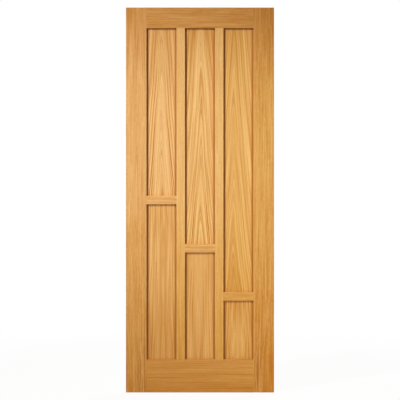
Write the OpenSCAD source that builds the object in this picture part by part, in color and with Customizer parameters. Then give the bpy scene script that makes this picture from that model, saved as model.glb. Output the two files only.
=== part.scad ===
// Solid core internal door leaf, oak faced, with six flat panels and mid rails that step down to the right.
// The leaf stands on its bottom edge: X runs across it, Y through it with the front at -Y, and Z up.

/* [Leaf] */
// Width of the leaf
leaf_w = 762; // [686:1:926]
// Height of the leaf
leaf_h = 1981; // [1900:1:2200]
// Thickness of the leaf
leaf_t = 35; // [32:1:54]
// Width of the eased arrises round the leaf and round each opening
arris = 1; // [0.5:0.1:2]

/* [Stiles, rails and mullions] */
// Face width of each stile
stile_w = 106; // [90:1:130]
// Face height of the top rail
top_rail_h = 106; // [90:1:130]
// Face height of the bottom rail
bottom_rail_h = 170; // [150:1:230]
// Face width of each mullion
mullion_w = 44; // [38:1:60]
// Face height of each mid rail
mid_rail_h = 44; // [38:1:60]
// Height of the left mid rail's centre line above the bottom edge
mid_rail_z = 990; // [850:1:1100]
// Drop from each mid rail to the next one on its right
mid_rail_drop = 248; // [80:1:280]

/* [Lippings and veneers] */
// Thickness of the solid oak lipping on each long outer edge
outer_lip_t = 8; // [4:0.5:15]
// Thickness of the solid oak lipping on each edge that faces a panel
inner_lip_t = 6; // [3:0.5:9]
// Thickness of the oak veneer on each face
veneer_t = 0.6; // [0.5:0.1:2]

/* [Panels and grooves] */
// Thickness of each panel, veneers included
panel_t = 12; // [9:0.5:16]
// Depth of the grooves that hold the panels and tongues
groove_depth = 10; // [8:0.5:13]
// Expansion gap between a panel's edge and the bottom of its groove
panel_gap = 1.5; // [0.5:0.1:3]
// Clearance on each face of a panel or tongue in its groove
groove_fit = 0.15; // [0.05:0.05:0.4]
// Gap between a tongue's end and the bottom of its groove
tongue_gap = 0.5; // [0.2:0.1:2]

/* [Dowels] */
// Diameter of the dowels between the stiles and the top and bottom rails
rail_dowel_d = 10; // [8:0.5:11]
// Length of those dowels
rail_dowel_l = 110; // [80:1:140]
// Spacing of those dowels
rail_dowel_pitch = 50; // [30:1:55]
// Dowels at each end of the top rail
top_rail_dowel_count = 2; // [1:1:2]
// Dowels at each end of the bottom rail
bottom_rail_dowel_count = 3; // [2:1:3]
// Diameter of the dowels at the ends of the mullions and mid rails
short_dowel_d = 8; // [6:0.5:10]
// Length of the dowels at the ends of the mullions
mullion_dowel_l = 80; // [50:1:110]
// Length of the dowels at the ends of the mid rails
mid_rail_dowel_l = 50; // [36:1:56]
// Clearance all round a dowel in its hole, which the glue fills
dowel_fit = 0.1; // [0.05:0.05:0.3]
// Gap between a dowel's end and the bottom of its hole
dowel_end_gap = 0.8; // [0.3:0.1:2]
// Chamfer on each end of a dowel
dowel_chamfer = 1; // [0.5:0.1:2]

/* [Hidden] */
$fn = 48;
// How far a cutting block runs past the face that it cuts
over = 5;

OAK_FACE = [0.88, 0.68, 0.42];
OAK_EDGE = [0.82, 0.61, 0.36];
CORE_WOOD = [0.90, 0.79, 0.60];
PANEL_BOARD = [0.66, 0.52, 0.37];
DOWEL_WOOD = [0.87, 0.75, 0.57];

// A span is a pair of coordinates along one axis
function both_sides(half) = [-half, half];
function centred(at, length) = [at - length / 2, at + length / 2];
function grown(span, by) = [span[0] - by, span[1] + by];
function size(span) = span[1] - span[0];
function middle(span) = (span[0] + span[1]) / 2;

// Layers through the thickness, and what sits in the grooves
core_y = both_sides(leaf_t / 2 - veneer_t);
panel_y = both_sides(panel_t / 2);
board_y = both_sides(panel_t / 2 - veneer_t);
groove_y = grown(panel_y, groove_fit);
tongue_l = groove_depth - tongue_gap;
panel_hold = groove_depth - panel_gap;

// The stiles, the rails and mullions between them, and the three columns of panels
leaf_x = both_sides(leaf_w / 2);
leaf_z = [0, leaf_h];
rail_x = grown(leaf_x, -stile_w);
mullion_z = [bottom_rail_h, leaf_h - top_rail_h];
column_w = (size(rail_x) - 2 * mullion_w) / 3;
COLUMNS = ["left", "centre", "right"];
function column_x(i) = let (x = rail_x[0] + i * (column_w + mullion_w)) [x, x + column_w];
function mullion_x(i) = [column_x(i)[1], column_x(i + 1)[0]];
function mid_rail_at(i) = mid_rail_z - i * mid_rail_drop;
function mid_rail_span(i) = centred(mid_rail_at(i), mid_rail_h);

// Openings and members both start with their name, x span and z span
function name(row) = row[0];
function x_span(row) = row[1];
function z_span(row) = row[2];

// Openings that the panels fill
OPENINGS = [for (i = [0:2]) each [
    [str("upper_", COLUMNS[i]), column_x(i), [mid_rail_span(i)[1], mullion_z[1]]],
    [str("lower_", COLUMNS[i]), column_x(i), [mullion_z[0], mid_rail_span(i)[0]]],
]];

// Members go on with whether they stand upright, the tongue's length at each end, and the lippings and
// then the groove depths on their low and high long edges
function upright(member) = member[3];
function tongue(member) = member[4];
function lips(member) = member[5];
function grooves(member) = member[6];
function face_width(member) = size(upright(member) ? x_span(member) : z_span(member));
INNER_LIPS = [inner_lip_t, inner_lip_t];
INNER_GROOVES = [groove_depth, groove_depth];
MEMBERS = [
    ["left_stile", [leaf_x[0], rail_x[0]], leaf_z, true, 0, [outer_lip_t, inner_lip_t], [0, groove_depth]],
    ["right_stile", [rail_x[1], leaf_x[1]], leaf_z, true, 0, [inner_lip_t, outer_lip_t], [groove_depth, 0]],
    ["top_rail", rail_x, [mullion_z[1], leaf_h], false, tongue_l, [inner_lip_t, 0], [groove_depth, 0]],
    ["bottom_rail", rail_x, [0, mullion_z[0]], false, tongue_l, [0, inner_lip_t], [0, groove_depth]],
    ["left_mullion", mullion_x(0), mullion_z, true, tongue_l, INNER_LIPS, INNER_GROOVES],
    ["right_mullion", mullion_x(1), mullion_z, true, tongue_l, INNER_LIPS, INNER_GROOVES],
    for (i = [0:2]) [
        str(COLUMNS[i], "_mid_rail"), column_x(i), mid_rail_span(i), false,
        tongue_l, INNER_LIPS, INNER_GROOVES,
    ],
];

// Groups of dowels, as a name, a diameter, a length, the turn from upright, and the [x, z] of each joint
// that one of them bridges
function dowel_d(group) = group[1];
function dowel_l(group) = group[2];
function turn(group) = group[3];
function joints(group) = group[4];
ALONG_X = [0, 90, 0];
ALONG_Z = [0, 0, 0];
function rail_joints(tongue_z, count) = [
    for (x = rail_x, k = [0:count - 1])
        [x, middle(tongue_z) + (k - (count - 1) / 2) * rail_dowel_pitch]
];
DOWELS = [
    ["top_rail_dowels", rail_dowel_d, rail_dowel_l, ALONG_X,
        rail_joints([mullion_z[1] + groove_depth, leaf_h], top_rail_dowel_count)],
    ["bottom_rail_dowels", rail_dowel_d, rail_dowel_l, ALONG_X,
        rail_joints([0, mullion_z[0] - groove_depth], bottom_rail_dowel_count)],
    ["mullion_dowels", short_dowel_d, mullion_dowel_l, ALONG_Z,
        [for (i = [0, 1], z = mullion_z) [middle(mullion_x(i)), z]]],
    ["mid_rail_dowels", short_dowel_d, mid_rail_dowel_l, ALONG_X,
        [for (i = [0:2], x = column_x(i)) [x, mid_rail_at(i)]]],
];

// A block given by its spans
module block(x, y, z) {
    translate([x[0], y[0], z[0]]) cube([size(x), size(y), size(z)]);
}

// A strip of a member, from one distance to another from its low long edge, and as long as the member
// with some more at both ends
module strip(member, from, to, y, more = 0) {
    low = upright(member) ? x_span(member)[0] : z_span(member)[0];
    across = [low + from, low + to];
    if (upright(member)) block(across, y, grown(z_span(member), more));
    else block(grown(x_span(member), more), y, across);
}

// What lies in both of two sections: the first child seen from above, and the second seen from the side
module crossed(x, z) {
    intersection() {
        translate([middle(x), 0, z[0]]) linear_extrude(size(z)) children(0);
        translate([x[0], 0, middle(z)]) rotate([90, 0, 90]) linear_extrude(size(x)) rotate(90) children(1);
    }
}

// Section of the leaf with its four arrises eased
module leaf_section(w) {
    x = w / 2;
    y = leaf_t / 2;
    polygon([
        [arris - x, -y], [x - arris, -y], [x, arris - y], [x, y - arris],
        [x - arris, y], [arris - x, y], [-x, y - arris], [-x, arris - y],
    ]);
}

// Section of an opening through the leaf, which flares over the eased arrises and out past both faces
module opening_section(w) {
    x = w / 2;
    y = leaf_t / 2;
    flare = arris + over;
    polygon([
        [-x - flare, -y - over], [x + flare, -y - over], [x, arris - y], [x, y - arris],
        [x + flare, y + over], [-x - flare, y + over], [-x, y - arris], [-x, arris - y],
    ]);
}

// The frame as it is glued up and its arrises eased, all in one piece
module whole_frame() {
    difference() {
        crossed(leaf_x, leaf_z) {
            leaf_section(leaf_w);
            leaf_section(leaf_h);
        }
        for (opening = OPENINGS)
            crossed(grown(x_span(opening), arris + over), grown(z_span(opening), arris + over)) {
                opening_section(size(x_span(opening)));
                opening_section(size(z_span(opening)));
            }
    }
}

// Puts a child at each joint of a group of dowels
module at_joints(group) {
    for (joint = joints(group)) translate([joint[0], 0, joint[1]]) rotate(turn(group)) children();
}

// The dowel holes of every joint
module dowel_holes() {
    for (group = DOWELS) at_joints(group)
        cylinder(d = dowel_d(group) + 2 * dowel_fit, h = dowel_l(group) + 2 * dowel_end_gap, center = true);
}

// A member in all its layers: its share of the frame, with tongues on its ends, grooves along the edges
// that face panels, and dowel holes
module machined(member) {
    w = face_width(member);
    low_groove = grooves(member)[0];
    high_groove = grooves(member)[1];
    difference() {
        union() {
            intersection() {
                whole_frame();
                strip(member, 0, w, both_sides(leaf_t));
            }
            if (tongue(member) > 0)
                strip(member, low_groove, w - high_groove, panel_y, tongue(member));
        }
        if (low_groove > 0) strip(member, -over, low_groove, groove_y, over);
        if (high_groove > 0) strip(member, w - high_groove, w + over, groove_y, over);
        dowel_holes();
    }
}

// The timber core of a member, which carries its tongues
module core(member) {
    color(CORE_WOOD) intersection() {
        machined(member);
        strip(member, lips(member)[0], face_width(member) - lips(member)[1], core_y, groove_depth);
    }
}

// The oak lippings on a member's long edges
module lippings(member) {
    w = face_width(member);
    color(OAK_EDGE) intersection() {
        machined(member);
        union() {
            if (lips(member)[0] > 0) strip(member, -over, lips(member)[0], core_y, groove_depth);
            if (lips(member)[1] > 0) strip(member, w - lips(member)[1], w + over, core_y, groove_depth);
        }
    }
}

// The oak veneers on a member's front and back
module veneers(member) {
    color(OAK_FACE) difference() {
        machined(member);
        strip(member, -over, face_width(member) + over, core_y, groove_depth + over);
    }
}

// A layer of a panel, which the grooves hold on all four sides
module panel_layer(opening, y) {
    block(grown(x_span(opening), panel_hold), y, grown(z_span(opening), panel_hold));
}

// The board inside a panel
module panel_board(opening) {
    color(PANEL_BOARD) panel_layer(opening, board_y);
}

// The oak veneers on a panel's front and back
module panel_veneers(opening) {
    color(OAK_FACE) {
        panel_layer(opening, [panel_y[0], board_y[0]]);
        panel_layer(opening, [board_y[1], panel_y[1]]);
    }
}

// A group of dowels with chamfered ends, each half in one member and half in its neighbour
module dowels(group) {
    r = dowel_d(group) / 2;
    end = dowel_l(group) / 2;
    c = dowel_chamfer;
    color(DOWEL_WOOD) at_joints(group) rotate_extrude()
        polygon([[0, -end], [r - c, -end], [r, c - end], [r, end - c], [r - c, end], [0, end]]);
}

for (member = MEMBERS) {
    core(member);
    lippings(member);
    veneers(member);
}
for (opening = OPENINGS) {
    panel_board(opening);
    panel_veneers(opening);
}
for (group = DOWELS) {
    dowels(group);
}
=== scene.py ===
import math

import bpy
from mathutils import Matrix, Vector


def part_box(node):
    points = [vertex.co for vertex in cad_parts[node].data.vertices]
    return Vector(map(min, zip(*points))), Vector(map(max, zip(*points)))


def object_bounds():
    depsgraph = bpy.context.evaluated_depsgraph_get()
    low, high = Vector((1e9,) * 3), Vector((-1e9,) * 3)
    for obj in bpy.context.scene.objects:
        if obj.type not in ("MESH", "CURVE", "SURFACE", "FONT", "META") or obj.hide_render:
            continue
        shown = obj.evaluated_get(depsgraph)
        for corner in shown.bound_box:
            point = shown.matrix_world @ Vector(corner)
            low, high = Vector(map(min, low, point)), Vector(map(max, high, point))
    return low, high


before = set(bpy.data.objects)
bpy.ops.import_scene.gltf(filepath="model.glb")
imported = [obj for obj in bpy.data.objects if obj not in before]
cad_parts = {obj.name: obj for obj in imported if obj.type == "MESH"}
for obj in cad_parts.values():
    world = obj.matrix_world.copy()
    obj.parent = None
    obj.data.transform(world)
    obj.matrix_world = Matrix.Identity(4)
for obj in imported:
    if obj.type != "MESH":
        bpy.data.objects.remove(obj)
cad_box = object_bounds()


# Cores: softwood strips, finger-jointed end to end and glued side by side into a blank for each
# member. Bare timber shows only on the leaf's top and bottom edges, where the lacquer was kept off.

MM = 0.001
UPRIGHT, LYING = 0.0, math.pi / 2
member_lie = {"left_stile": UPRIGHT, "right_stile": UPRIGHT,
              "left_mullion": UPRIGHT, "right_mullion": UPRIGHT,
              "top_rail": LYING, "bottom_rail": LYING,
              "left_mid_rail": LYING, "centre_mid_rail": LYING, "right_mid_rail": LYING}
SPRING_WOOD = (0.74, 0.53, 0.30, 1.0)
SUMMER_WOOD = (0.50, 0.28, 0.11, 1.0)
GLUE = (0.30, 0.17, 0.07, 1.0)
strip_width = 27.0
lamella_length, lamella_stagger = 340.0, 131.0
finger_pitch, finger_length = 4.0, 10.0
glue_edge, glue_middle = 0.5, 0.1
softwood_ring = 3.2
softwood_fibre = (0.7, 0.7, 30)
# Where the log's pith lay from each lamella: how far to either side, how far behind, and how much the
# rings sway along it. Each lamella takes its rings from another part of the log.
pith_spread = 30.0
pith_near, pith_range = 14.0, 26.0
ring_sway_cell, ring_sway = (40, 40, 300), 6.0
log_part = 97.0


class Grain:
    """A socket in a finish's node tree. Arithmetic adds Math nodes to it, and add() makes any other."""

    def __init__(self, tree, socket=None):
        self.tree = tree
        self.socket = socket

    def add(self, kind, settings, inputs, output=0):
        node = self.tree.nodes.new(kind)
        for name, value in settings.items():
            if name == "stops":
                for place, colour in value[1:-1]:
                    node.color_ramp.elements.new(place)
                for stop, (place, colour) in zip(node.color_ramp.elements, value):
                    stop.position = place
                    stop.color = colour
            else:
                setattr(node, name, value)
        for key, value in inputs.items():
            if isinstance(value, Grain):
                self.tree.links.new(value.socket, node.inputs[key])
            else:
                node.inputs[key].default_value = value
        return Grain(self.tree, node.outputs[output] if node.outputs else None)

    def out(self, name):
        return Grain(self.tree, self.socket.node.outputs[name])

    def math(self, operation, *values):
        return self.add("ShaderNodeMath", {"operation": operation}, dict(enumerate(values)))

    def __add__(self, other):
        return self.math("ADD", self, other)

    def __sub__(self, other):
        return self.math("SUBTRACT", self, other)

    def __rsub__(self, other):
        return self.math("SUBTRACT", other, self)

    def __mul__(self, other):
        return self.math("MULTIPLY", self, other)

    def __truediv__(self, other):
        return self.math("DIVIDE", self, other)

    def __mod__(self, other):
        return self.math("FLOORED_MODULO", self, other)

    def __pow__(self, other):
        return self.math("POWER", self, other)

    def __gt__(self, other):
        return self.math("GREATER_THAN", self, other)

    def __abs__(self):
        return self.math("ABSOLUTE", self)

    __radd__ = __add__
    __rmul__ = __mul__


def new_finish(name):
    """An empty finish, and the place in it that the first nodes grow from."""
    finish = bpy.data.materials.new(name)
    finish.use_nodes = True
    finish.node_tree.nodes.clear()
    return finish, Grain(finish.node_tree)


def dress(node, finish):
    """Puts a finish on a CAD node in place of the plain one that it was packed with."""
    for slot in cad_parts[node].material_slots:
        slot.material = finish


def laid(sheet, lie, middle=(0, 0, 0)):
    """Millimetres across, through and along the fibres of a piece that stands or lies, from a middle."""
    where = sheet.add("ShaderNodeTexCoord", {}, {}, "Object")
    local = sheet.add("ShaderNodeMapping", {"vector_type": "TEXTURE"},
                      {"Vector": where, "Location": middle, "Rotation": (0, lie, 0),
                       "Scale": (MM, MM, MM)})
    parts = sheet.add("ShaderNodeSeparateXYZ", {}, {"Vector": local})
    return [parts.out(axis) for axis in "XYZ"]


def rise(value, start, end):
    """Goes smoothly from 0 to 1 as the value goes from start to end, which may lie below start."""
    if start > end:
        return 1 - rise(value, end, start)
    return value.add("ShaderNodeMapRange", {"interpolation_type": "SMOOTHSTEP"},
                     {"Value": value, "From Min": start, "From Max": end})


def tint(mask, bare, covered):
    """The bare colour where the mask is 0, and the covered one where it is 1."""
    return mask.add("ShaderNodeMix", {"data_type": "RGBA"}, {0: mask, 6: bare, 7: covered}, 2)


def streaks(across, depth, along, cell, detail):
    """Noise from 0 to 1 in cells of so many millimetres across, through and along the fibres."""
    fibres = across.add("ShaderNodeCombineXYZ", {}, {"X": across, "Y": depth, "Z": along})
    cells = across.add("ShaderNodeMapping", {}, {"Vector": fibres, "Scale": [1 / size for size in cell]})
    return across.add("ShaderNodeTexNoise", {}, {"Vector": cells, "Scale": 1.0, "Detail": detail})


def surface(colour, roughness, gloss, relief, strength, relief_depth):
    """Ends a finish with its colour and roughness, over a fine relief of so many millimetres."""
    bump = colour.add("ShaderNodeBump", {},
                      {"Strength": strength, "Distance": relief_depth * MM, "Height": relief})
    skin = colour.add("ShaderNodeBsdfPrincipled", {},
                      {"Base Color": colour, "Roughness": roughness, "Specular IOR Level": gloss,
                       "Normal": bump})
    colour.add("ShaderNodeOutputMaterial", {}, {"Surface": skin})


def jointed_softwood(name, lie):
    """Laminated softwood, with rings that curve across each strip's end and zigzag joints along it."""
    finish, sheet = new_finish(name)
    across, depth, along = laid(sheet, lie)
    in_strip = across % strip_width - strip_width / 2
    strip = (across - in_strip) / strip_width
    zigzag = abs(depth % finger_pitch - finger_pitch / 2) * (2 * finger_length / finger_pitch)
    run = along + zigzag + lamella_stagger * strip
    in_lamella = run % lamella_length
    lamella = (run - in_lamella) / lamella_length
    pick = across.add("ShaderNodeTexWhiteNoise", {"noise_dimensions": "2D"},
                      {"Vector": across.add("ShaderNodeCombineXYZ", {}, {"X": strip, "Y": lamella})})
    sway = streaks(across, depth, along, ring_sway_cell, detail=1.0)
    beside_pith = in_strip + pith_spread * (pick - 0.5) + ring_sway * sway
    behind_pith = depth + pith_near + pith_range * pick
    ring = (beside_pith * beside_pith + behind_pith * behind_pith) ** 0.5
    rings = across.add("ShaderNodeTexNoise", {"noise_dimensions": "1D"},
                       {"W": ring + log_part * pick, "Scale": 1 / softwood_ring, "Detail": 1.0})
    summer = rise(rings, 0.42, 0.72)
    fibres = streaks(across, depth, along, softwood_fibre, detail=2.0)
    wood = tint(0.75 * summer + 0.25 * pick, SPRING_WOOD, SUMMER_WOOD)
    wood = tint(0.3 * rise(fibres, 0.55, 0.8), wood, SUMMER_WOOD)
    from_joint = lamella_length / 2 - abs(in_lamella - lamella_length / 2)
    joint = rise(from_joint, glue_edge, glue_middle)
    side_joint = rise(strip_width / 2 - abs(in_strip), glue_edge, glue_middle)
    wood = tint(0.7 * (joint + side_joint - joint * side_joint), wood, GLUE)
    surface(wood, roughness=0.62 + 0.2 * fibres, gloss=0.2,
            relief=fibres, strength=0.3, relief_depth=0.2)
    return finish


core_finishes = {UPRIGHT: jointed_softwood("standing_softwood_core", UPRIGHT),
                 LYING: jointed_softwood("lying_softwood_core", LYING)}
for member, lie in member_lie.items():
    dress(member + "_core", core_finishes[lie])


# Lippings: strips of solid oak glued to the core's edges before the faces go on.
# They show on the leaf's long edges and in the steps down to the panels, sanded and lacquered.

OAK_TONES = ((0.0, (0.965, 0.61, 0.255, 1.0)), (0.25, (0.85, 0.49, 0.180, 1.0)),
             (0.75, (0.61, 0.250, 0.040, 1.0)), (1.0, (0.47, 0.165, 0.020, 1.0)))
AMBER = (1.0, 0.97, 0.50, 1.0)
PINK_OAK = (0.80, 0.43, 0.170, 1.0)
OPEN_PORE = (0.50, 0.185, 0.036, 1.0)
# The next colour is painted shade for the corners where the lippings meet the panels.
PAINTED_CORNER_SHADE = (0.38, 0.145, 0.030, 1.0)
SAWN_END = (0.47, 0.27, 0.120, 1.0)
LACQUER_ROUGHNESS, PORE_ROUGHNESS, SAWN_ROUGHNESS = 0.42, 0.60, 0.85
LACQUER_GLOSS = 0.15
# Straight-grained oak, in millimetres across, through and along its fibres: how its lines drift, its
# broad and fine streaks, its flecks and clouds, its pale lines, its pink patches, pores and hairlines.
drift_cell, drift_reach = (150, 40, 900), 12.0
broad_cell, fine_cell = (8, 8, 320), (3.2, 3.2, 130)
fleck_cell, cloud_cell = (4.5, 4.5, 24), (40, 25, 110)
pale_cell, pale_width = (14, 14, 500), 0.08
patch_cell, pore_cell, hairline_cell = (70, 25, 520), (0.42, 0.42, 11), (1.4, 1.4, 28)
# Painted shade: the oak is painted deeper towards the leaf's head and foot, and by default it is more
# amber at the foot.
painted_head_shade, head_start, head_end = 0.20, 1450.0, 2050.0
painted_foot_shade, foot_start, foot_end = 0.30, 1300.0, -200.0
foot_amber = 0.35
lipping_tone, lipping_contrast = 0.36, 0.6
# Painted shade in the recess corners: a lipping is painted darker where it meets a panel, and not on the
# outer lippings of the leaf's long edges.
corner_start, corner_end, corner_shade_strength = 13.0, 6.5, 0.6
outer_lipping, outer_fade = 10.0, 1.0
end_grain_facing = 0.9

leaf_high = Vector(cad_box[1]) / MM


def pale_lines(across, depth, along, cell, width):
    """Thin pale lines, long and wandering, where a smooth noise passes through its middle."""
    level = streaks(across, depth, along, cell, detail=0.0) - 0.5
    return rise(abs(level), width, 0)


def straight_grain(across, depth, along, deepness, contrast):
    """The tone of a rift-cut sheet: near-parallel streaks that drift, fine lines, and thin pale ones."""
    across = across + drift_reach * (streaks(across, depth, along, drift_cell, detail=1.0) - 0.5)
    broad = streaks(across, depth, along, broad_cell, detail=2.0) - 0.5
    fine = streaks(across, depth, along, fine_cell, detail=3.0) - 0.5
    flecks = streaks(across, depth, along, fleck_cell, detail=2.0) - 0.5
    clouds = streaks(across, depth, along, cloud_cell, detail=2.0) - 0.5
    pale = pale_lines(across, depth, along, pale_cell, pale_width)
    return deepness + contrast * (0.8 * broad + 1.15 * fine + 0.5 * flecks + 0.2 * clouds - 0.08 * pale)


def lacquered_oak(across, depth, along, height, tone, amber=0.0, low_amber=foot_amber,
                  lines=None, mark_and_shade_colour=None, sawn=None):
    """Oak from pale to deep by its tone, with pink patches, open pores, and dark lines that are partly
    real marks and partly painted shade, under lacquer.

    The height is the one above the leaf's foot, by which the oak is painted deeper towards the head and
    foot, as painted shade, and by which its amber changes towards the foot.
    """
    head = rise(height, head_start, head_end)
    foot = rise(height, foot_start, foot_end)
    # Painted shade: the tone deepens towards the leaf's head and foot.
    tone = tone + painted_head_shade * head + painted_foot_shade * foot
    patches = rise(streaks(across, depth, along, patch_cell, detail=1.0), 0.42, 0.68)
    pores = rise(streaks(across, depth, along, pore_cell, detail=1.0), 0.60, 0.72)
    hairlines = rise(streaks(across, depth, along, hairline_cell, detail=1.0), 0.58, 0.74)
    wood = tone.add("ShaderNodeValToRGB", {"stops": OAK_TONES}, {"Fac": tone})
    wood = tint(0.2 * patches, wood, PINK_OAK)
    wood = tone.add("ShaderNodeMix", {"data_type": "RGBA", "blend_type": "MULTIPLY"},
                    {0: amber + low_amber * foot, 6: wood, 7: AMBER}, 2)
    roughness = LACQUER_ROUGHNESS + (PORE_ROUGHNESS - LACQUER_ROUGHNESS) * pores
    if sawn:
        wood = tint(sawn, wood, SAWN_END)
        roughness = roughness + (SAWN_ROUGHNESS - LACQUER_ROUGHNESS) * sawn
    wood = tint(0.40 * pores + 0.16 * hairlines, wood, OPEN_PORE)
    # The lines are real glue and growth lines, or painted shade in recess corners and along eased edges.
    if lines:
        wood = tint(lines, wood, mark_and_shade_colour)
    surface(wood, roughness, LACQUER_GLOSS, relief=1 - pores, strength=0.25, relief_depth=0.15)


lipping_finishes = {}
for lie, name in ((UPRIGHT, "standing_oak_lipping"), (LYING, "lying_oak_lipping")):
    finish, sheet = new_finish(name)
    across, depth, along = laid(sheet, lie)
    tone = straight_grain(across, depth, along, lipping_tone, lipping_contrast)
    # Painted shade: darker deep in the recess, next to the panel.
    corner = corner_shade_strength * rise(abs(depth), corner_start, corner_end)
    if lie == UPRIGHT:
        inner = leaf_high.x - outer_lipping
        within = rise(abs(across), inner, inner - outer_fade)
        facing = sheet.add("ShaderNodeNewGeometry", {}, {}, "True Normal")
        upwards = sheet.add("ShaderNodeSeparateXYZ", {}, {"Vector": facing}, "Z")
        lacquered_oak(across, depth, along, along, tone, lines=corner * within,
                      mark_and_shade_colour=PAINTED_CORNER_SHADE, sawn=abs(upwards) > end_grain_facing)
    else:
        lacquered_oak(across, depth, along, 0 - across, tone, lines=corner, mark_and_shade_colour=PAINTED_CORNER_SHADE)
    lipping_finishes[lie] = finish
for member, lie in member_lie.items():
    dress(member + "_lippings", lipping_finishes[lie])


# Stiles: the two full-height uprights that the rails and panels are glued between.
# Front and back are thin sheets of straight-grained oak, pressed on with glue, sanded and sprayed
# with clear lacquer.

# For each stile: how deep the tone of its oak is, how amber it is, how much more amber its foot is, and
# how much deeper its head is.
stile_oak = {"left_stile": (0.38, 0.0, 0.4, 0.08), "right_stile": (0.425, 0.47, -0.12, 0.20)}
stile_contrast = 0.75
head_amber_loss = 0.75
# Towards the foot the lines lean in, and beside the inner edge a few lines of dark growth show, between
# paler ones. They wander, keep a rough pitch, and fade in and out along the stile.
# The colour of dark growth and glue lines, and also of the painted shade along the leaf's eased outer
# edges.
DARK_GROWTH_AND_EDGE_SHADE = (0.40, 0.140, 0.024, 1.0)
lean_start, lean_end, foot_lean = 400.0, 120.0, 9.0
foot_depth = 0.05
streaked_width = 56.0
streak_strength, streak_paleness, streak_contrast = 0.75, 0.10, 0.4
streak_pitch, streak_slip = 13.0, 2700.0
streak_edge, streak_middle = 0.42 * streak_pitch, 0.10 * streak_pitch
wander_cell, wander_reach = (26, 26, 260), 22.0
fade_cell = (11, 11, 150)
# A paler band along the inner edge, a painted highlight, and a darker one along the outer edge, painted
# shade where it is eased.
edge_highlight_band, edge_highlight_paleness = 7.0, 0.05
edge_shade_band, edge_shade_strength = 5.0, 0.20

for stile, (deepness, amber, low_amber, head_depth) in stile_oak.items():
    finish, sheet = new_finish(stile + "_oak_face")
    across, depth, along = laid(sheet, UPRIGHT)
    inward = 1 if stile == "left_stile" else -1
    inner_edge = min(abs(corner.x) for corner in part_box(stile + "_veneers")) / MM
    from_inner = abs(across) - inner_edge
    foot = rise(along, lean_start, lean_end)
    head = rise(along, head_start, leaf_high.z)
    streaked = foot * rise(from_inner, streaked_width, streaked_width / 2)
    streaked = streaked * rise(from_inner, edge_highlight_band / 2, 2 * edge_highlight_band)
    leaning = across - inward * foot_lean * foot
    from_log = along + streak_slip
    wander = leaning + wander_reach * streaks(leaning, depth, from_log, wander_cell, detail=1.0)
    dark = rise(abs(wander % streak_pitch - streak_pitch / 2), streak_edge, streak_middle)
    dark = dark * rise(streaks(leaning, depth, from_log, fade_cell, detail=0.0), 0.36, 0.56)
    grown = deepness + foot_depth * foot + head_depth * head - streak_paleness * streaked
    # Painted highlight: paler along the stile's inner edge.
    grown = grown - edge_highlight_paleness * rise(from_inner, edge_highlight_band, edge_highlight_band / 2)
    tone = straight_grain(leaning, depth, along, grown, stile_contrast + streak_contrast * streaked)
    # Painted shade: darker along the leaf's outer long edge.
    edge_shade = rise(abs(across), leaf_high.x - edge_shade_band, leaf_high.x)
    lacquered_oak(leaning, depth, along, along, tone, amber * (1 - head_amber_loss * head), low_amber,
                  lines=edge_shade_strength * edge_shade + streak_strength * streaked * dark,
                  mark_and_shade_colour=DARK_GROWTH_AND_EDGE_SHADE)
    dress(stile + "_veneers", finish)


# Top rail and bottom rail: the two wide cross members, tongued and dowelled between the stiles.
# Faced as the stiles are, with the oak lying along them, and a hair of glue shows where they butt.

# For each rail: how deep the tone of its oak is, how amber, how strong its figure is, how fast the
# figure changes along it, and how strong its lines of dark growth are.
rail_oak = {"top_rail": (0.445, 0.0, 0.62, 0.85, 0.34), "bottom_rail": (0.365, 0.04, 0.46, 0.55, 0.12)}
rail_slip = 1000.0
growth_cell = (3.4, 3.4, 120)
glue_line, glue_strength = 1.5, 0.25
# The bottom rail's face is two leaves of oak from different places in the log, joined edge to edge at
# this height with a pale line, and the lower leaf deepens to the rail's foot.
leaf_join, leaf_shift, leaf_fade = 113.0, 260.0, 1.0
join_edge, join_middle, join_paleness = 3.0, 1.0, 0.08
low_start, low_end, low_depth = 75.0, 25.0, 0.06


def glued_ends(along, node, lie):
    """A thin dark line of glue at both ends of a member's face."""
    low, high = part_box(node)
    length = (high - low).x if lie == LYING else (high - low).z
    middle = (high + low).x / 2 if lie == LYING else (high + low).z / 2
    from_middle = abs(along - middle / MM)
    return rise(from_middle, length / 2 / MM - glue_line, length / 2 / MM)


for rail, (deepness, amber, contrast, pace, growth) in rail_oak.items():
    finish, sheet = new_finish(rail + "_oak_face")
    across, depth, along = laid(sheet, LYING)
    height = 0 - across
    joined = rise(abs(height - leaf_join), join_edge, join_middle)
    lower_leaf = rise(height, leaf_join, leaf_join - leaf_fade)
    grown = deepness - join_paleness * joined + low_depth * rise(height, low_start, low_end)
    from_log = pace * along + rail_slip
    tone = straight_grain(across + leaf_shift * lower_leaf, depth, from_log, grown, contrast)
    # Painted shade: darker along the leaf's top and bottom edges.
    edge_shades = rise(across, -edge_shade_band, 0) + rise(across, edge_shade_band - leaf_high.z, -leaf_high.z)
    ends = glued_ends(along, rail + "_veneers", LYING)
    dark = rise(streaks(across, depth, from_log, growth_cell, detail=1.0), 0.46, 0.66)
    lacquered_oak(across, depth, along, height, tone, amber,
                  lines=edge_shade_strength * edge_shades + glue_strength * ends + growth * dark,
                  mark_and_shade_colour=DARK_GROWTH_AND_EDGE_SHADE)
    dress(rail + "_veneers", finish)


# Mullions: the two slim uprights between the three columns of panels, dowelled into both rails.
# The palest and calmest of the oak faces, cut from quarter-sawn sheet.

# For each mullion: how deep the tone of its oak is, and how amber.
mullion_oak = {"left_mullion": (0.18, 0.18), "right_mullion": (0.19, 0.22)}
mullion_contrast = 0.55
paler_head = 0.08
deeper_foot, deeper_from, deeper_to = 0.06, 1050.0, 350.0
mullion_low_amber = 0.60
GLUE_HAIR = (0.60, 0.25, 0.040, 1.0)
hair_strength = 0.4

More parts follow.
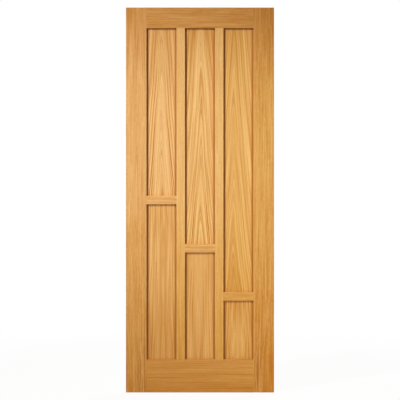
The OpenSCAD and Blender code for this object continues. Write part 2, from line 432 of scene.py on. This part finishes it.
for mullion, (deepness, amber) in mullion_oak.items():
    finish, sheet = new_finish(mullion + "_oak_face")
    across, depth, along = laid(sheet, UPRIGHT)
    grown = deepness - paler_head * rise(along, head_start, leaf_high.z)
    grown = grown + deeper_foot * rise(along, deeper_from, deeper_to)
    tone = straight_grain(across, depth, along, grown, mullion_contrast)
    ends = glued_ends(along, mullion + "_veneers", UPRIGHT)
    lacquered_oak(across, depth, along, along, tone, amber, mullion_low_amber,
                  lines=hair_strength * ends, mark_and_shade_colour=GLUE_HAIR)
    dress(mullion + "_veneers", finish)


# Mid rails: three short cross pieces that step down from left to right, one in each column.
# Oak-faced as the rest, with the grain lying along each, and dowelled at both ends.

# For each mid rail: how deep the tone of its oak is, and how amber.
mid_rail_oak = {"left_mid_rail": (0.35, 0.0), "centre_mid_rail": (0.33, 0.12),
                "right_mid_rail": (0.40, 0.35)}
mid_rail_contrast = 0.8

for mid_rail, (deepness, amber) in mid_rail_oak.items():
    finish, sheet = new_finish(mid_rail + "_oak_face")
    across, depth, along = laid(sheet, LYING)
    tone = straight_grain(across, depth, along, deepness, mid_rail_contrast)
    ends = glued_ends(along, mid_rail + "_veneers", LYING)
    lacquered_oak(across, depth, along, 0 - across, tone, amber,
                  lines=hair_strength * ends, mark_and_shade_colour=GLUE_HAIR)
    dress(mid_rail + "_veneers", finish)


# Panel faces: crown-cut oak, sliced off the side of the log, so the rings rise in nested arches.
# Each panel sits loose in the grooves of the frame, and its face is painted darker along its sides, foot
# and head, as painted shade in the corners of the recess.

# For each panel: how deep its tone is, how amber, how much paler its foot is, how strong its figure,
# how far its heart lies from the middle, how its lines fan out below, how fast its arches climb, how
# long its lines run, and where along the log the sheet comes from.
panel_figures = {
    "upper_left_panel": (0.285, 0.0, 0.02, 1.60, 0.0, 0.0004, 0.060, 800.0, 1000.0),
    "upper_centre_panel": (0.285, 0.14, 0.09, 1.85, 4.0, 0.0003, 0.060, 800.0, 7080.0),
    "upper_right_panel": (0.34, 0.38, 0.0, 1.08, -24.0, 0.0003, 0.065, 700.0, 8000.0),
    "lower_left_panel": (0.32, 0.0, 0.07, 0.95, 8.0, 0.0002, 0.012, 400.0, 2470.0),
    "lower_centre_panel": (0.265, 0.03, 0.05, 0.80, -10.0, 0.0002, 0.012, 400.0, 430.0),
    "lower_right_panel": (0.315, 0.14, 0.05, 1.10, -4.0, 0.0002, 0.020, 300.0, 7920.0),
}
behind_shift = 211.0
heart_bluntness, plain_heart = 7.0, 26.0
sway_cell, sway_reach = (160, 40, 420), 18.0
waver_cell, waver_reach = (34, 40, 190), 6.0
# Widths of the rings and lines of the figure, and how far they run into the log, in millimetres.
broad_ring, fine_ring, crisp_ring, pale_ring, straight_line = 9.0, 3.4, 6.5, 15.0, 3.0
ring_through = 60.0
pale_ring_width = 0.10
# Painted shade in the corners of each recess: its colour, how far in from the panel's sides, foot and
# head it reaches, and how strong it is there.
PAINTED_RECESS_SHADE = (0.425, 0.162, 0.033, 1.0)
painted_shade_sides, groove_lip, side_shade_strength = 16.0, 3.0, 0.95
painted_shade_foot, foot_shade_strength = 20.0, 0.10
painted_shade_head, head_shade_strength = 8.0, 0.25


def crown_cut(across, depth, along, deepness, contrast, heart, fan, climb, run, slip):
    """The tone of a crown-cut sheet: lines that fan out below, and arches that climb its plain heart."""
    behind = depth > 0.0
    place = along + slip + behind_shift * behind
    sway = streaks(across, depth, place, sway_cell, detail=1.0) - 0.5
    waver = streaks(across, depth, place, waver_cell, detail=2.0) - 0.5
    from_heart = across - heart + sway_reach * sway
    spread = (from_heart * from_heart + heart_bluntness ** 2) ** 0.5
    flank = rise(spread, heart_bluntness, heart_bluntness + plain_heart)
    ring = spread * (1 + fan * along) + climb * along + waver_reach * waver
    broad = streaks(ring, depth, place, (broad_ring, ring_through, 1.4 * run), detail=2.0) - 0.5
    fine = streaks(ring, depth, place, (fine_ring, ring_through, 0.65 * run), detail=3.0) - 0.5
    crisp = streaks(ring, depth, place, (crisp_ring, ring_through, run), detail=1.0)
    crisp = rise(crisp, 0.42, 0.58) - 0.5
    pale = pale_lines(ring, depth, place, (pale_ring, ring_through, 2.5 * run), pale_ring_width)
    line_cell = (straight_line, ring_through, 0.4 * run)
    straight = streaks(from_heart, depth, place, line_cell, detail=3.0) - 0.5
    rings = 0.6 * broad + 1.1 * fine + 0.26 * crisp - 0.15 * pale
    return deepness + contrast * ((0.6 + 0.4 * flank) * rings + (0.35 - 0.15 * flank) * straight)


def opening_of(panel):
    """The half width and half height, in millimetres, of the opening that a panel fills."""
    row, column, _ = panel.split("_")
    uprights = {"left": ("left_stile", "left_mullion"), "centre": ("left_mullion", "right_mullion"),
                "right": ("right_mullion", "right_stile")}
    rails = {"upper": (column + "_mid_rail", "top_rail"), "lower": ("bottom_rail", column + "_mid_rail")}
    before, after = uprights[column]
    below, above = rails[row]
    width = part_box(after + "_veneers")[0].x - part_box(before + "_veneers")[1].x
    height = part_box(above + "_veneers")[0].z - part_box(below + "_veneers")[1].z
    return width / 2 / MM, height / 2 / MM


for panel, (deepness, amber, paler_foot, *figure) in panel_figures.items():
    finish, sheet = new_finish(panel + "_oak_face")
    low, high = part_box(panel + "_veneers")
    middle = (low + high) / 2
    half_width, half_height = opening_of(panel)
    across, depth, along = laid(sheet, UPRIGHT, middle)
    tone = crown_cut(across, depth, along, deepness, *figure)
    tone = tone + paler_foot / half_height * along
    # Painted shade: the face is darkened along its sides, and less at its foot and head, where the frame
    # shades the recess.
    sides = rise(abs(across), half_width - painted_shade_sides, half_width - groove_lip)
    foot = rise(along, painted_shade_foot - half_height, -half_height)
    head = rise(along, half_height - painted_shade_head, half_height)
    painted_shade = side_shade_strength * sides + (1 - sides) * (foot_shade_strength * foot + head_shade_strength * head)
    lacquered_oak(across, depth, along, along + middle.z / MM, tone, amber,
                  lines=painted_shade, mark_and_shade_colour=PAINTED_RECESS_SHADE)
    dress(panel + "_veneers", finish)


# Panel boards: the fibreboard between a panel's two oak faces, pressed from fine brown wood fibre.
# Its sawn edges stand hidden in the grooves of the frame.

FIBRE_BROWN = (0.40, 0.255, 0.135, 1.0)
FIBRE_DARK = (0.26, 0.150, 0.075, 1.0)
fibre_speck = (1.1, 0.5, 1.1)
pressed_layer = (60, 2.2, 60)

finish, sheet = new_finish("brown_fibreboard")
across, depth, along = laid(sheet, UPRIGHT)
specks = streaks(across, depth, along, fibre_speck, detail=3.0)
layers = streaks(across, depth, along, pressed_layer, detail=1.0)
board = tint(0.6 * rise(specks, 0.35, 0.75) + 0.3 * layers, FIBRE_BROWN, FIBRE_DARK)
surface(board, roughness=0.7 + 0.2 * specks, gloss=0.15, relief=specks, strength=0.3, relief_depth=0.1)
for panel in panel_figures:
    dress(panel + "_board", finish)


# Dowels: turned beech pegs with chamfered ends, glued into the rails, mullions and mid rails.
# They are hidden once the frame is cramped up.

BEECH_PALE = (0.72, 0.50, 0.30, 1.0)
BEECH_FLECK = (0.47, 0.27, 0.14, 1.0)
beech_ray = (0.5, 0.5, 3.0)
beech_grain = (1.6, 1.6, 60)
dowel_lie = {"top_rail_dowels": LYING, "bottom_rail_dowels": LYING,
             "mid_rail_dowels": LYING, "mullion_dowels": UPRIGHT}

for dowels, lie in dowel_lie.items():
    finish, sheet = new_finish(dowels + "_beech")
    across, depth, along = laid(sheet, lie)
    rays = rise(streaks(across, depth, along, beech_ray, detail=1.0), 0.58, 0.70)
    grain = streaks(across, depth, along, beech_grain, detail=2.0)
    beech = tint(0.35 * grain + 0.45 * rays, BEECH_PALE, BEECH_FLECK)
    surface(beech, roughness=0.55 + 0.15 * rays, gloss=0.25,
            relief=grain, strength=0.2, relief_depth=0.1)
    dress(dowels, finish)


# Floor and backdrop: a wide white sheet under the leaf and plain air around it, which lights it a
# little from all sides and slightly warm. The camera sees both as white, and near the leaf the floor
# keeps a little of its shadow.

floor_size = 60.0
floor_white = (0.75, 0.74, 0.72, 1.0)
floor_glow_near, floor_glow_far = 0.95, 1.0
floor_near, floor_far = 1.0, 3.0
air_light = 0.175
WARM_AIR = (1.0, 0.88, 0.80, 1.0)
WHITE_AIR = (1.0, 1.0, 1.0, 1.0)

bpy.ops.object.select_all(action="DESELECT")
bpy.ops.mesh.primitive_plane_add(size=floor_size, location=(0, 0, cad_box[0][2]))
floor = bpy.context.object
floor.name = "studio_floor"
floor_finish, sheet = new_finish("white_floor")
seen = sheet.add("ShaderNodeLightPath", {}, {}, "Is Camera Ray")
shown = seen + seen.out("Is Glossy Ray") + seen.out("Is Transmission Ray")
paint = sheet.add("ShaderNodeBsdfDiffuse", {}, {"Color": floor_white})
glow = sheet.add("ShaderNodeEmission", {}, {"Strength": 1.0})
across, depth, _ = laid(sheet, UPRIGHT)
away = rise((across * across + depth * depth) ** 0.5, floor_near / MM, floor_far / MM)
glowing = floor_glow_near + (floor_glow_far - floor_glow_near) * away
mixed = sheet.add("ShaderNodeMixShader", {}, {0: glowing * shown, 1: paint, 2: glow})
sheet.add("ShaderNodeOutputMaterial", {}, {"Surface": mixed})
floor.data.materials.append(floor_finish)

world = bpy.data.worlds.new("white_air")
bpy.context.scene.world = world
world.use_nodes = True
world.node_tree.nodes.clear()
air = Grain(world.node_tree)
seen = air.add("ShaderNodeLightPath", {}, {}, "Is Camera Ray")
shown = rise(seen + seen.out("Is Glossy Ray") + seen.out("Is Transmission Ray"), 0.0, 1.0)
sky = air.add("ShaderNodeBackground", {},
              {"Color": tint(shown, WARM_AIR, WHITE_AIR),
               "Strength": air_light + (1 - air_light) * shown})
air.add("ShaderNodeOutputWorld", {}, {"Surface": sky})


# Lamps: a soft key spot from high on the left, which throws a narrow shadow into each panel's left
# and top edge, a tighter one under it that lifts the middle of the leaf, a weak one low on the right
# that opens the shadows, and one for the leaf's back.


def aim_spot(name, turn, height, distance, target, power, cone, softness):
    """A spot so many degrees round from the front and up, aimed at a point on the leaf."""
    level = math.cos(math.radians(height))
    towards = Vector((level * math.sin(math.radians(turn)), -level * math.cos(math.radians(turn)),
                      math.sin(math.radians(height))))
    bpy.ops.object.select_all(action="DESELECT")
    bpy.ops.object.light_add(type="SPOT", location=Vector(target) + distance * towards)
    lamp = bpy.context.object
    lamp.name = name
    lamp.rotation_euler = (-towards).to_track_quat("-Z", "Y").to_euler()
    lamp.data.energy = power
    lamp.data.spot_size = math.radians(cone)
    lamp.data.spot_blend = 1.0
    lamp.data.shadow_soft_size = softness


aim_spot("key_lamp", turn=-43.5, height=35.5, distance=8.0, target=(0.0, 0.0, 1.13),
         power=1790, cone=34, softness=0.3)
aim_spot("pool_lamp", turn=-43.5, height=20, distance=6.0, target=(0.0, 0.0, 1.12),
         power=445, cone=20, softness=0.25)
aim_spot("fill_lamp", turn=45, height=4, distance=5.0, target=(0.35, 0.0, 0.70),
         power=165, cone=34, softness=0.4)
aim_spot("back_lamp", turn=145, height=30, distance=8.0, target=(0.0, 0.0, 1.0),
         power=2300, cone=40, softness=0.6)


# Camera: square on to the front with a long lens, level with the middle of the leaf, and as far back
# as gives the leaf its height in the picture.

lens, sensor = 100.0, 36.0
photo_pixels, leaf_pixels = 400.0, 385.0
leaf_height = cad_box[1][2] - cad_box[0][2]
distance = leaf_height * photo_pixels / leaf_pixels * lens / sensor

bpy.ops.object.select_all(action="DESELECT")
bpy.ops.object.camera_add(location=(0, cad_box[0][1] - distance, cad_box[0][2] + leaf_height / 2),
                          rotation=(math.pi / 2, 0, 0))
camera = bpy.context.object
camera.name = "front_camera"
camera.data.lens = lens
camera.data.sensor_width = sensor
bpy.context.scene.camera = camera
bpy.context.scene.view_settings.view_transform = "Standard"
